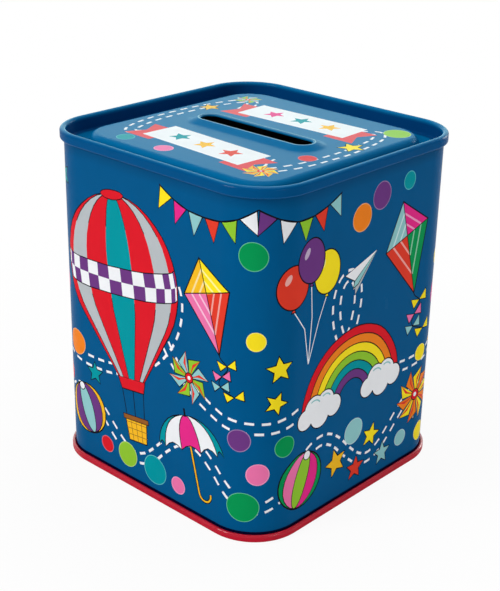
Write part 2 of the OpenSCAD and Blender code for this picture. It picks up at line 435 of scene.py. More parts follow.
# outwards from the slot's wall, and up from the top of its lip, for the painted highlight round the slot
SLOT_HIGHLIGHT_WIDTH = 0.35
SLOT_HIGHLIGHT_SIDE = (SLOT_HIGHLIGHT_WIDTH, 0.6)
SLOT_HIGHLIGHT_DEPTH = (-0.3, -0.1)

# How far each change goes, from 0 to 1: painted shade under the top band, wear, the painted highlight round
# the slot, and the coats' shine
# Painted shade on the walls just under the top band
UNDER_BAND_SHADE = 0.3
WORN = 0.25
SLOT_HIGHLIGHT_SHARE = 0.35
CREST_SHINE = 0.12
TURN_SHINE = 0.3
RED_SHINE = 0.6

# The pale blue of the painted highlight round the slot, and the paler blue of wear
SLOT_HIGHLIGHT = (132, 182, 204)
WORN_BLUE = (14, 112, 174)


def printed_ink():
    """The printed inks, with painted shade that darkens the walls towards navy just under the top band."""
    material, shader, at = new_material("printed_ink")
    ink = at.out(at.node("ShaderNodeAttribute", {"attribute_name": "ink"}), "Color")
    walls = corner_reach(at).above((CORNER_R + PRINTED_SIDE) * MM)
    # Painted shade: the walls are darkened towards navy just under the top band
    under = at.axis("Z").past(HEIGHT - SEAM_H, UNDER_BAND)
    varnish(at, shader, (walls * under * UNDER_BAND_SHADE).blend(ink, linear(*INKS["shade_navy"])))
    return material


def plain_blue():
    """Blue varnish, with painted shade that darkens the channel and the band's outer face, and a pale ring
    of painted highlight at the slot's edge.
    """
    material, shader, at = new_material("blue_varnish")
    wear = grain(at, 700, 3.0).clipped(0.62, 0.8) * WORN
    reach = corner_reach(at)
    height = at.axis("Z")
    # Painted shade in the channel: masks for its walls and floor, which the channel ink darkens
    wall = reach.past(CORNER_R, CHANNEL_WALL)
    inner = 1.0 - reach.above((CORNER_R + CHANNEL_SIDE) * MM)
    sunk = (HEIGHT * MM - height).past(0, CHANNEL_SUNK)
    along = at.math("MAXIMUM", at.math("ABSOLUTE", at.axis("X")) - SLOT_STRAIGHT * MM, 0.0)
    aside = at.axis("Y")
    from_slot = at.math("SQRT", along * along + aside * aside)
    # Painted highlight: a pale ring along the slot's edge, on the top of its lip
    slot_highlight = 1.0 - from_slot.past(SLOT_W / 2, SLOT_HIGHLIGHT_SIDE)
    high = (height - (HEIGHT + LIP_TOP) * MM).past(0, SLOT_HIGHLIGHT_DEPTH)
    face = wear.blend(linear(*INKS["lid_ground"]), linear(*WORN_BLUE))
    # Painted shade: the band's outer face is darker, as a side that stands in shade
    outer = reach.past(CORNER_R, OUTER_SIDE)
    face = outer.blend(face, linear(*INKS["band"]))
    face = (slot_highlight * high * SLOT_HIGHLIGHT_SHARE).blend(face, linear(*SLOT_HIGHLIGHT))
    varnish(at, shader, (wall * inner * sunk).blend(face, linear(*INKS["channel"])))
    crest = (height - HEIGHT * MM).past(0, CREST)
    turn = outer * (1.0 - (height - (HEIGHT - SEAM_H) * MM).past(0, BAND_TURN))
    feed(at, shader, Coat_Weight=crest * CREST_SHINE + turn * TURN_SHINE, Coat_Roughness=0.1)
    return material


def red_lacquer():
    """Red lacquer, pooled a little unevenly, that shines on the shoulder of the base's band."""
    material, shader, at = new_material("red_lacquer")
    pooling = grain(at, 240, 3.0)
    fine = grain(at, 5200, 1.0)
    tone = (pooling * 0.6 + fine * 0.4).blend(linear(184, 10, 38), linear(206, 22, 50))
    feed(
        at,
        shader,
        Base_Color=tone,
        Roughness=0.24 + 0.12 * pooling,
        Normal=bump(at, pooling + 0.1 * fine, LACQUER_RELIEF),
        Specular_IOR_Level=LACQUER_GLOSS,
        Coat_Weight=at.axis("Z").past(BASE_SEAM_H, RED_SHOULDER) * RED_SHINE,
        Coat_Roughness=0.12,
    )
    return material


def tin_finish(name, blue_outside=False):
    """Bare tinplate with mill streaks and faint spangle, or the sleeve's own, blue outside."""
    material, shader, at = new_material(name)
    streaks = grain(at, 420, 4.0, (1, 1, 0.04))
    spangle = grain(at, 900, 2.0)
    colour = (streaks * 0.7 + spangle * 0.3).blend(linear(150, 152, 154), linear(196, 197, 196))
    metal = 1.0
    if blue_outside:
        outside = corner_reach(at).above((CORNER_R - MID) * MM)
        colour = outside.blend(colour, linear(*INKS["ground"]))
        metal = 1.0 - outside
    feed(
        at,
        shader,
        Base_Color=colour,
        Metallic=metal,
        Roughness=0.26 + 0.16 * streaks,
        Normal=bump(at, streaks, TIN_RELIEF),
    )
    return material


def stopper_plastic():
    """Black moulded plastic with faint flow marks."""
    material, shader, at = new_material("stopper_plastic")
    flow = grain(at, 120, 3.0)
    skin = grain(at, 4200, 2.0)
    feed(
        at,
        shader,
        Base_Color=flow.blend(linear(26, 26, 28), linear(40, 40, 43)),
        Roughness=0.42 + 0.12 * skin,
        Normal=bump(at, skin, PLASTIC_RELIEF),
        Specular_IOR_Level=PLASTIC_GLOSS,
    )
    return material


# ---- making pieces ----


def linked(name, data):
    """A new object for a mesh, lamp or camera, put into the scene."""
    made = bpy.data.objects.new(name, data)
    bpy.context.scene.collection.objects.link(made)
    return made


def modify(piece, name, kind, **settings):
    """Adds a modifier with its settings."""
    modifier = piece.modifiers.new(name, kind)
    for key, value in settings.items():
        setattr(modifier, key, value)


def weld(bm):
    """Joins the edges of strips that were swept to the same place."""
    bmesh.ops.remove_doubles(bm, verts=bm.verts, dist=0.002)


def finished(name, bm, materials):
    """Turns a bmesh in millimetres into a piece in metres, smooth, at the origin."""
    bmesh.ops.scale(bm, vec=(MM, MM, MM), verts=bm.verts)
    mesh = bpy.data.meshes.new(name)
    bm.to_mesh(mesh)
    bm.free()
    for material in materials:
        mesh.materials.append(material)
    mesh.shade_smooth()
    return linked(name, mesh)


def swept(bm, points, start, moves):
    """Sweeps an open section, x outwards and y up, from a place that faces +X."""
    verts = [bm.verts.new((start + p.real, 0, p.imag)) for p in points]
    edges = [bm.edges.new(pair) for pair in zip(verts, verts[1:])]
    for kind, value in moves:
        if kind == "run":
            made = bmesh.ops.extrude_edge_only(bm, edges=edges)["geom"]
            verts = [g for g in made if isinstance(g, bmesh.types.BMVert)]
            bmesh.ops.translate(bm, verts=verts, vec=value)
        else:
            centre, angle, steps = value
            made = bmesh.ops.spin(
                bm, geom=verts + edges, cent=centre, axis=(0, 0, 1), angle=angle, steps=steps
            )["geom_last"]
            verts = [g for g in made if isinstance(g, bmesh.types.BMVert)]
        ends = set(verts)
        edges = [g for g in made if isinstance(g, bmesh.types.BMEdge) and ends >= set(g.verts)]


def square_moves(half, r):
    """Round a rounded square, from the middle of its +X side."""
    straight = half - r
    moves = []
    for k in range(4):
        turn = Matrix.Rotation(k * math.pi / 2, 3, "Z")
        half_run = turn @ Vector((0, straight, 0))
        corner = turn @ Vector((straight, straight, 0))
        next_run = turn @ Vector((-straight, 0, 0))
        bend = (corner, math.pi / 2, CORNER_STEPS)
        moves += [("run", half_run), ("turn", bend), ("run", next_run)]
    return moves


def slot_moves():
    """Round the slot, from the middle of its +X end."""
    straight = SLOT_L - SLOT_W
    right = Vector((straight / 2, 0, 0))
    quarter = ("turn", (right, math.pi / 2, CORNER_STEPS))
    return [
        quarter,
        ("run", Vector((-straight, 0, 0))),
        ("turn", (-right, math.pi, 2 * CORNER_STEPS)),
        ("run", Vector((straight, 0, 0))),
        quarter,
    ]


def fill_level(bm, level):
    """A flat plate between the open loops at a level."""
    rims = [
        e
        for e in bm.edges
        if len(e.link_faces) == 1 and all(abs(v.co.z - level) < 1e-3 for v in e.verts)
    ]
    bmesh.ops.triangle_fill(bm, edges=rims, use_beauty=True)


def pressed_sheet(name, bm, up, outer_finish, inner_finish):
    """Welds a one-layer pressing, faces it up or down, and gives it the tin's thickness."""
    weld(bm)
    bmesh.ops.recalc_face_normals(bm, faces=bm.faces)
    flattest = max(bm.faces, key=lambda f: f.calc_area())
    if flattest.normal.z * up < 0:
        bmesh.ops.reverse_faces(bm, faces=bm.faces)
    piece = finished(name, bm, [outer_finish, inner_finish])
    modify(piece, "tin", "SOLIDIFY", thickness=TIN * MM, offset=0, material_offset=1, material_offset_rim=1)
    modify(piece, "shading", "WEIGHTED_NORMAL", keep_sharp=True)
    return piece


def seamed_rim(bm, seam_path, foot_half, foot_r, edge_path):
    """Seam, channel and the edge of the panel, which both ends have."""
    swept(bm, sheet_face(seam_path), HALF, square_moves(HALF, CORNER_R))
    swept(bm, sheet_face(edge_path), foot_half, square_moves(foot_half, foot_r))
    weld(bm)
    fill_level(bm, -CHANNEL_DEPTH - MID)


def make_top(outer_finish, inner_finish):
    """The top: band, channel, raised panel and the lip round the coin slot."""
    bm = bmesh.new()
    foot_half = PANEL_W / 2 + PANEL_RUN
    seam = end_seam(SEAM_H, TOP_CREST_BEND)
    seamed_rim(bm, seam, foot_half, PANEL_R + PANEL_RUN, PANEL_EDGE)
    swept(bm, sheet_face(LIP), SLOT_L / 2, slot_moves())
    weld(bm)
    fill_level(bm, -PANEL_DROP - MID)
    bmesh.ops.translate(bm, verts=bm.verts, vec=(0, 0, HEIGHT))
    return pressed_sheet("top_pressing", bm, 1, outer_finish, inner_finish)


def make_base(outer_finish, inner_finish):
    """The base: band, channel, panel, and the round seat with its collar, turned upside down."""
    bm = bmesh.new()
    foot_half = BASE_W / 2 + BASE_RUN
    seam = end_seam(BASE_SEAM_H, BASE_CREST_BEND)
    seamed_rim(bm, seam, foot_half, BASE_R + BASE_RUN, BASE_EDGE)
    swept(bm, sheet_face(SEAT), 0, [("turn", (Vector(), 2 * math.pi, 8 * CORNER_STEPS))])
    weld(bm)
    fill_level(bm, -BASE_Z - MID)
    bmesh.ops.scale(bm, vec=(1, 1, -1), verts=bm.verts)
    return pressed_sheet("base_pressing", bm, -1, outer_finish, inner_finish)


def cut_notch(bm):
    """Cuts the straight-sided fingernail notch out of the flange's -Y edge."""
    floor = -FLANGE_R + NOTCH_IN
    sides = (-NOTCH_W / 2, NOTCH_W / 2)
    cuts = [((side, 0, 0), (1, 0, 0)) for side in sides] + [((0, floor, 0), (0, 1, 0))]
    for at, out in cuts:
        geom = bm.verts[:] + bm.edges[:] + bm.faces[:]
        bmesh.ops.bisect_plane(bm, geom=geom, dist=1e-5, plane_co=at, plane_no=out)
    inside = []
    for face in bm.faces:
        centre = face.calc_center_median()
        if abs(centre.x) < NOTCH_W / 2 and centre.y < floor:
            inside.append(face)
    bmesh.ops.delete(bm, geom=inside, context="FACES")
    rim = [e for e in bm.edges if len(e.link_faces) == 1]
    for side in sides:
        corner = Vector((side, floor))
        ends = {v for e in rim for v in e.verts if (v.co.xy - corner).length < 1e-3}
        rim.append(bm.edges.new(ends))
    bmesh.ops.edgenet_fill(bm, edges=rim)
    bmesh.ops.recalc_face_normals(bm, faces=bm.faces)


def make_stopper(finish):
    """A moulded plug: flange with a shallow dish, skirt with a lead-in taper, nail notch."""
    plug_r = HOLE_R - PLUG_GAP
    inner_r = plug_r - SKIRT_T
    top = FLANGE_T + SKIRT_H
    corners = [
        (0, DISH_DEPTH),
        (DISH_R - DISH_DEPTH, DISH_DEPTH),
        (DISH_R, 0),
        (FLANGE_R - DISH_DEPTH, 0),
        (FLANGE_R, DISH_DEPTH),
        (FLANGE_R, FLANGE_T),
        (plug_r, FLANGE_T),
        (plug_r, top - TAPER_H),
        (plug_r - TAPER_IN, top),
        (inner_r, top),
        (inner_r, FLANGE_T),
        (0, FLANGE_T),
    ]
    bm = bmesh.new()
    verts = [bm.verts.new((x, 0, z)) for x, z in corners]
    geom = verts + [bm.edges.new(pair) for pair in zip(verts, verts[1:])]
    full = {"angle": 2 * math.pi, "steps": 8 * CORNER_STEPS, "use_merge": True}
    bmesh.ops.spin(bm, geom=geom, cent=(0, 0, 0), axis=(0, 0, 1), **full)
    bmesh.ops.remove_doubles(bm, verts=bm.verts, dist=0.001)
    bmesh.ops.recalc_face_normals(bm, faces=bm.faces)
    cut_notch(bm)
    bmesh.ops.translate(bm, verts=bm.verts, vec=(0, 0, SEAT_Z - FLANGE_T))
    piece = finished("stopper_plug", bm, [finish])
    modify(piece, "edges", "BEVEL", width=PLUG_EDGE * MM, segments=3, limit_method="ANGLE",
           angle_limit=math.radians(25))
    modify(piece, "shading", "WEIGHTED_NORMAL", keep_sharp=True)
    return piece


# ---- drawing ----

# Width of the black outlines, in millimetres
LINE = 0.36


def disc(centre, r, n=30):
    """A circle's outline."""
    return [centre + cmath.rect(r, 2 * math.pi * k / n) for k in range(n)]


def arc(centre, r, first, last, n):
    """Points on an arc between two angles in degrees."""
    turns = [math.radians(first + (last - first) * k / n) for k in range(n + 1)]
    return [centre + cmath.rect(r, t) for t in turns]


def area_of(shape):
    """Area inside an outline, below 0 where it runs clockwise."""
    return sum((a.conjugate() * b).imag for a, b in zip(shape, shape[1:] + shape[:1])) / 2


def grown(shape, d):
    """The outline moved outwards by d, with mitred corners."""
    shape = [p for p, q in zip(shape, shape[1:] + shape[:1]) if abs(p - q) > 1e-6]
    if area_of(shape) < 0:
        shape = shape[::-1]
    found = []
    for before, at, after in zip(shape[-1:] + shape[:-1], shape, shape[1:] + shape[:1]):
        first = -1j * unit(at - before)
        second = -1j * unit(after - at)
        lean = first + second
        found.append(at + lean * d / max(0.55, abs(lean) ** 2 / 2))
    return found


def beside(line, d):
    """An open line moved sideways by d, to its left."""
    found = []
    for k, at in enumerate(line):
        ahead = line[min(k + 1, len(line) - 1)]
        behind = line[max(k - 1, 0)]
        found.append(at + 1j * d * unit(ahead - behind))
    return found


def band(line, width):
    """A stroke of even width along an open line."""
    return beside(line, width / 2) + beside(line, -width / 2)[::-1]


def evenly(line, pitch):
    """Points along a line at an even pitch."""
    found = [line[0]]
    left = pitch
    for a, b in zip(line, line[1:]):
        length = abs(b - a)
        done = 0.0
        while length - done >= left:
            done += left
            found.append(a + (b - a) * done / length)
            left = pitch
        left -= length - done
    return found


class Artwork:
    """Shapes to print, in the order that they are laid down, and the room that they take."""

    def __init__(self):
        self.shapes = []
        self.room = []

    def fill(self, shape, ink):
        if area_of(shape) < 0:
            shape = shape[::-1]
        self.shapes.append((shape, INKS[ink] if isinstance(ink, str) else ink))

    def outlined(self, shape, ink, line=LINE):
        if line:
            self.fill(grown(shape, line / 2), "black")
        self.fill(grown(shape, -line / 2), ink)

    def stroke(self, line, width=LINE, ink="black"):
        self.fill(band(line, width), ink)

    def loop(self, shape):
        """A black line along a closed outline, as strokes that meet."""
        closed = shape + shape[:1]
        for a, b in zip(closed, closed[1:]):
            over = unit(b - a) * LINE / 4
            self.stroke([a - over, b + over])

    def keep_clear(self, centre, r):
        self.room.append((centre, r))


def placed(at, size, degrees):
    """A function that turns, scales and moves an outline drawn about 0."""
    turn = cmath.rect(size, math.radians(degrees))
    return lambda shape: [at + turn * p for p in shape]


def star(art, at, r, degrees, ink, outline=LINE):
    """A five-pointed star."""
    put = placed(at, r, degrees)
    tips = [cmath.rect(1.0 if k % 2 == 0 else 0.47, math.pi / 2 + math.pi * k / 5) for k in range(10)]
    art.outlined(put(tips), ink, outline)
    art.keep_clear(at, r)


def dot(art, at, r, ink):
    """A dot with a thin paler edge."""
    art.fill(disc(at, r + 0.22), tinted(ink, 0.35))
    art.fill(disc(at, r), ink)
    art.keep_clear(at, r)


DASH_TRACK = 1.5
DASH_STEP = 0.5
DASH_RUN = 5
DASH_PITCH = 9
DASH_WIDTH = 0.75


def dashes(art, line):
    """Two rows of white dashes beside a line, as on a sewn seam; runs are counted in steps."""
    for track in (-DASH_TRACK, DASH_TRACK):
        points = evenly(beside(line, track), DASH_STEP)
        for k in range(0, len(points) - DASH_RUN, DASH_PITCH):
            art.stroke(points[k : k + DASH_RUN + 1], DASH_WIDTH, "white")


def ellipse(centre, wide, high, first=0, last=360, tilt=0):
    """Points round an ellipse between two angles in degrees."""
    turn = cmath.rect(1, math.radians(tilt))
    n = max(8, int(abs(last - first) / 6))
    angles = [math.radians(first + (last - first) * k / n) for k in range(n + 1)]
    return [centre + turn * complex(wide * math.cos(a), high * math.sin(a)) for a in angles]


def air_balloon(art, at, size, degrees, gores, checks=("purple", "white"), skirt="red"):
    """A hot-air balloon: gores, a chequered band, skirt, ropes and a wicker basket."""
    put = placed(at, size, degrees)
    side = [(0.12, -0.62)] + [
        (0.5 * math.cos(a), 0.06 + 0.5 * math.sin(a))
        for a in (math.radians(-38 + 128 * k / 14) for k in range(15))
    ]
    wide = [complex(w, y) for w, y in side]
    silhouette = wide + [complex(-w, y) for w, y in reversed(side[:-1])]
    for x in (-0.1, 0.1):
        art.stroke(put([complex(x, -0.66), complex(x * 0.8, -0.9)]), 0.3)
    art.stroke(put([complex(0, -0.66), complex(0, -0.9)]), 0.3)
    basket = [-0.1 - 0.88j, 0.1 - 0.88j, 0.082 - 1.05j, -0.082 - 1.05j]
    art.outlined(put(basket), "golden")
    for k in (1, 2, 3):
        y = -0.88 - 0.0425 * k
        art.stroke(put([complex(-0.092, y), complex(0.092, y)]), 0.2, "brown")
    for x in (-0.05, 0, 0.05):
        art.stroke(put([complex(x, -0.89), complex(x * 0.85, -1.045)]), 0.2, "brown")
    art.outlined(put([-0.115 - 0.87j, 0.115 - 0.87j, 0.115 - 0.905j, -0.115 - 0.905j]), "brown", 0.25)
    art.outlined(put([-0.13 - 0.6j, 0.13 - 0.6j, 0.1 - 0.7j, -0.1 - 0.7j]), skirt)
    art.outlined(put(silhouette), gores[0])
    count = len(gores)

    def seam(k, low=0, high=None):
        lean = math.sin(math.pi * (k / count - 0.5)) * 0.985
        return [complex(w * lean, y) for w, y in side[low:high]]

    for k, ink in enumerate(gores):
        art.fill(put(seam(k) + seam(k + 1)[::-1]), ink)
    levels = (-0.02, 0.07, 0.16)

    def across(lean, y):
        """A point on the belly at a height, dipped as a band round it looks."""
        width = math.sqrt(max(0.0, 0.25 - (y - 0.06) ** 2)) * 0.985
        return complex(width * math.sin(lean), y - 0.06 * math.cos(lean))

    leans = [math.pi * (k / (2 * count) - 0.5) for k in range(2 * count + 1)]
    for row, (low, high) in enumerate(zip(levels, levels[1:])):
        for k, (a, b) in enumerate(zip(leans, leans[1:])):
            cell = [across(a, low), across(b, low), across(b, high), across(a, high)]
            art.fill(put(cell), checks[(k + row) % 2])
    for y in levels[::2]:
        art.stroke(put([across(a, y) for a in leans]), 0.3)
    for k in range(1, count):
        art.stroke(put(seam(k, 0, 4)), 0.26)
        art.stroke(put(seam(k, 9)), 0.26)
    art.outlined(put(ellipse(0.555j, 0.1, 0.03)[:-1]), skirt, 0.26)
    art.keep_clear(at + cmath.rect(size * 0.06, math.radians(degrees + 90)), size * 0.54)
    art.keep_clear(at - cmath.rect(size * 0.8, math.radians(degrees + 90)), size * 0.26)


BOWS = ("yellow", "pink", "aqua")


def kite(art, at, size, degrees, inks, tail):
    """A four-piece kite with striped quarters, and a tail of bows."""
    put = placed(at, size, degrees)
    top, right, bottom, left, middle = 0.5j, 0.36 + 0.1j, -0.62j, -0.36 + 0.1j, 0.1j
    wave = [complex(0.1 * math.sin(t * 7) * min(1, 3 * t), -0.62 - tail * t) for t in
            (k / 24 for k in range(25))]
    art.stroke(put(wave), 0.32)
    for k, ink in zip(range(6, 25, 6), BOWS * 2):
        knot = wave[k]
        for way in (-1, 1):
            lobe = [knot, knot + complex(0.13 * way, 0.07), knot + complex(0.11 * way, -0.06)]
            art.outlined(put(lobe), ink, 0.28)
        art.keep_clear(put([knot])[0], size * 0.13)
    art.outlined(put([top, right, bottom, left]), inks[0])
    for ink, corners in zip(inks, [(top, right), (right, bottom), (bottom, left), (left, top)]):
        quarter = [middle, *corners]
        art.fill(put(quarter), ink)
        for share in (0.34, 0.67):
            a = middle + (corners[0] - middle) * share
            b = middle + (corners[1] - middle) * share
            art.stroke(put([a, b]), 0.55, tinted(ink, 0.55))
    art.stroke(put([top, bottom]), 0.3)
    art.stroke(put([left, right]), 0.3)
    art.loop(put([top, right, bottom, left]))
    art.keep_clear(at, size * 0.5)


def pinwheel(art, at, r, degrees, inks=("yellow", "golden"), blades=8, stick=0.0, outline=0.3):
    """A paper windmill with folded blades, and a stick when it has a length."""
    put = placed(at, r, degrees)
    if stick:
        art.outlined(put([-0.05 + 0j, 0.05 + 0j, 0.04 - 1j * stick, -0.04 - 1j * stick]), "silver", 0.28)
        art.keep_clear(put([-0.8j * stick])[0], r * 0.3)
    step = 2 * math.pi / blades
    for k in range(blades):
        a = step * k
        tip = cmath.rect(1, a)
        heel = cmath.rect(0.72, a + step * 0.86)
        fold = cmath.rect(0.5, a + step * 0.2)
        art.outlined(put([0.02 + 0j, tip, heel]), inks[k % 2], outline)
        art.fill(put([0.02 + 0j, fold, tip, cmath.rect(0.6, a + step * 0.4)]), "scarlet")
    art.outlined(put(disc(0, 0.2, 20)), "red", outline)
    art.fill(put(disc(0, 0.08, 14)), "white")
    art.keep_clear(at, r)


# Lobes of a cloud: x, y and radius for a cloud of size 1
LOBES = ((-0.62, 0.0, 0.32), (-0.25, 0.2, 0.42), (0.22, 0.26, 0.38), (0.6, 0.02, 0.34), (0, -0.06, 0.4))


def cloud(art, at, size):
    """A white cloud of round lobes, with two short curves of shade."""
    put = placed(at, size, 0)
    lobes = [(put([complex(x, y)])[0], r * size) for x, y, r in LOBES]
    for centre, r in lobes:
        art.fill(disc(centre, r + LINE / 2), "black")
    for centre, r in lobes:
        art.fill(disc(centre, r - LINE / 2), "white")
    for centre, r in lobes[1:3]:
        art.stroke(arc(centre, r * 0.66, 35, 120, 8), 0.42, "aqua")
    art.keep_clear(at, size * 0.8)


RAINBOW = ("red", "orange", "yellow", "lime", "teal", "purple")


def rainbow(art, at, r, width):
    """Half rings of an even width, with a cloud over each foot."""
    for k, ink in enumerate(RAINBOW):
        out = r - k * width
        ring = arc(at, out, 0, 180, 26) + arc(at, out - width, 180, 0, 26)
        art.outlined(ring, ink, 0.32)
    middle = r - len(RAINBOW) * width / 2
    feet = [at + cmath.rect(middle, angle) for angle in (0, math.pi)]
    for foot in feet:
        cloud(art, foot, len(RAINBOW) * width * 0.62)
    art.keep_clear(at + 0.5j * r, r * 0.8)
    for foot in feet:
        art.keep_clear(foot, r * 0.45)


def umbrella(art, at, size, degrees, inks):
    """An open umbrella from the side: scalloped gores and a crooked handle."""
    put = placed(at, size, degrees)
    crook = [0.09 - 0.48j + cmath.rect(0.09, math.radians(a)) for a in range(200, 361, 20)]
    handle = [0.4j, -0.48j] + crook
    art.stroke(put(handle), 1.1)
    art.stroke(put(handle), 0.5, "golden")
    count = len(inks)
    leans = [math.pi * (k / count - 0.5) for k in range(count + 1)]
    dome = [[complex(0.5 * math.cos(a) * math.sin(lean), 0.42 * math.sin(a)) for a in
             (math.pi / 2 * j / 8 for j in range(9))] for lean in leans]
    for k, ink in enumerate(inks):
        left, right = dome[k][0], dome[k + 1][0]
        sag = [left + (right - left) * t + 0.07j * math.sin(math.pi * t) for t in (0.25, 0.5, 0.75)]
        art.outlined(put(dome[k + 1] + dome[k][::-1] + sag), ink, 0.32)
    art.stroke(put([0.4j, 0.5j]), 0.7)
    art.keep_clear(at + cmath.rect(size * 0.15, math.radians(degrees + 90)), size * 0.5)
    art.keep_clear(put([0.06 - 0.42j])[0], size * 0.2)


def beach_ball(art, at, r, degrees, inks):
    """A ball with curved panels and a button."""
    put = placed(at, r, degrees)
    count = len(inks)
    art.fill(put(disc(0, 1 + LINE / 2 / r)), "black")

    def meridian(k):
        lean = math.sin(math.pi * (k / count - 0.5)) * 0.97
        return [complex(lean * math.cos(a), 0.97 * math.sin(a)) for a in
                (math.radians(-90 + 15 * j) for j in range(13))]

    for k, ink in enumerate(inks):
        art.fill(put(meridian(k + 1) + meridian(k)[::-1]), ink)
    for k in range(1, count):
        art.stroke(put(meridian(k)), 0.28)
    art.outlined(put(disc(0.86j, 0.16, 16)), "white", 0.28)
    art.keep_clear(at, r)


FLAG = 5.2
FLAG_PITCH = FLAG * 1.15


def bunting(art, first, last, sag, inks):
    """Flags on a sagging string."""
    line = [first + (last - first) * t - 1j * sag * 4 * t * (1 - t) for t in
            (k / 40 for k in range(41))]
    length = sum(abs(b - a) for a, b in zip(line, line[1:]))
    marks = evenly(line, length / round(length / FLAG_PITCH) * 0.999)
    for k, (a, b) in enumerate(zip(marks, marks[1:])):
        reach = (b - a) * 0.44
        middle = (a + b) / 2
        tip = middle - 1j * unit(b - a) * FLAG_PITCH
        art.outlined([middle - reach, middle + reach, tip], inks[k % len(inks)], 0.3)
        art.keep_clear(middle - 0.4j * FLAG, FLAG * 0.55)
    art.stroke(line, 0.4)


def paper_plane(art, at, size, degrees):
    """A folded paper dart that shows its two wings and its keel."""
    put = placed(at, size, degrees)
    nose, left, right, keel = 0.55 + 0j, -0.45 + 0.34j, -0.45 - 0.3j, -0.3 - 0.02j
    art.outlined(put([nose, left, keel]), "white", 0.3)
    art.outlined(put([nose, keel, right]), "silver", 0.3)
    art.outlined(put([nose, keel, -0.42 - 0.12j, -0.26 - 0.17j]), "aqua", 0.3)
    art.keep_clear(at, size * 0.5)


def balloon_bunch(art, at, r, inks):
    """Three party balloons on strings."""
    knot = at - 1j * r * 3.4
    for drop in (1.5, 2.5):
        art.keep_clear(at - 1j * r * drop, r * 0.8)
    spots = (-0.95 + 0.1j, 0.95 + 0.25j, 0.0 + 0.95j)
    for spot, ink in zip(spots, inks):
        centre = at + spot * r
        art.stroke([centre - 1j * r, centre + (knot - centre) * 0.55 + 0.12 * r, knot], 0.28, "white")
    for spot, ink in zip(spots, inks):
        centre = at + spot * r
        put = placed(centre, r * 0.92, 0)
        art.outlined(put([-0.12 - 1.14j, 0.12 - 1.14j, 0 - 0.9j]), ink, 0.28)
        art.outlined(put(ellipse(0, 0.84, 1.0)[:-1]), ink)
        art.fill(put(ellipse(-0.3 + 0.4j, 0.13, 0.26, tilt=-30)[:-1]), tinted(ink, 0.6))
        art.keep_clear(centre, r)


# ---- layout of the sleeve's print, unrolled ----
# x runs round the sleeve from the middle of the front wall towards the right wall, y is up

STRAIGHT = 2 * (HALF - CORNER_R)
QUARTER = STRAIGHT + CORNER_R * math.pi / 2
RIGHT, BACK, LEFT = QUARTER, 2 * QUARTER, -QUARTER
# The print runs on behind both bands, and a dark line of painted shade lies just above the base's band,
# where the seam meets the wall
PRINT_HIDDEN = 0.4
PRINT_LOW = BASE_SEAM_H - PRINT_HIDDEN
PRINT_HIGH = HEIGHT - SEAM_H + PRINT_HIDDEN
FOOT_SHADE = 0.6


def front_motifs(art):
    air_balloon(art, -10 + 62j, 45, 7, ("red", "silver", "red", "teal", "red", "silver", "red"))
    kite(art, 23 + 67j, 23, 17, ("yellow", "scarlet", "pink", "golden"), 0.5)
    umbrella(art, 17 + 21j, 25, 14, ("teal", "white", "magenta", "white", "teal"))
    beach_ball(art, -26 + 18j, 8, 20, ("golden", "purple", "aqua", "purple", "golden"))
    pinwheel(art, 16 + 43j, 7.5, 10, ("aqua", "lime"))


def right_motifs(art):
    x = RIGHT
    rainbow(art, x - 4 + 33j, 21, 2.6)
    kite(art, x + 18 + 72j, 27, 16, ("magenta", "green", "scarlet", "aqua"), 0.5)
    balloon_bunch(art, x - 23 + 72j, 6.6, ("scarlet", "yellow", "purple"))
    pinwheel(art, x + 27 + 22j, 9, 0, ("yellow", "orange"), 10, 0.9)
    beach_ball(art, x - 24 + 15j, 8.4, -18, ("green", "pink", "lime", "magenta", "green"))
    paper_plane(art, x - 2 + 70j, 13, 35)


def back_motifs(art):
    x = BACK
    air_balloon(art, x + 15 + 59j, 34, -9, ("purple", "yellow", "teal", "yellow", "purple"),
                ("red", "white"), "golden")
    umbrella(art, x - 16 + 75j, 26, 12, ("red", "white", "orange", "white", "red"))
    kite(art, x - 24 + 40j, 23, 16, ("lime", "orange", "teal", "magenta"), 0.6)
    pinwheel(art, x + 24 + 17j, 8.5, 15, stick=0.9)
    cloud(art, x - 6 + 40j, 8)
    beach_ball(art, x - 2 + 15j, 7.5, 25, ("yellow", "white", "scarlet", "white", "yellow"))


def left_motifs(art):
    x = LEFT
    rainbow(art, x + 6 + 60j, 22, 2.7)
    balloon_bunch(art, x - 25 + 50j, 7.6, ("magenta", "teal", "golden"))
    umbrella(art, x + 21 + 30j, 21, -12, ("aqua", "purple", "aqua", "pink", "aqua"))
    paper_plane(art, x + 27 + 86j, 14, 20)
    pinwheel(art, x - 2 + 22j, 10, 5, ("golden", "scarlet"), 10)
    kite(art, x - 28 + 19j, 15, 30, ("yellow", "red", "golden", "orange"), 0.35)


def bunting_round(art):
    """Two strings of flags that hang over opposite corners."""
    flags = ("yellow", "magenta", "aqua", "scarlet", "lime", "white", "purple")
    for corner in (QUARTER / 2, QUARTER / 2 + BACK):
        bunting(art, corner - 33 + 94j, corner - 1 + 94j, 5, flags)
        bunting(art, corner - 1 + 94j, corner + 26 + 94j, 4, flags[::-1])


# Loops or waves, middle height, swing along the sleeve and swing up and down
TRAILS = ((5, 52, 17, 18), (7, 17, 0, 7))


def dashed_trails(art):
    """A looped trail and a wavy one, sewn-looking, that run right round the sleeve."""
    length = 4 * QUARTER
    for loops, middle, across, high in TRAILS:
        turns = [2 * math.pi * k / 90 for k in range(90 * loops + 1)]
        trail = [
            complex(length * (t / (2 * math.pi * loops) - 0.375) - across * math.sin(t),
                    middle + high * math.cos(t))
            for t in turns
        ]
        dashes(art, trail)


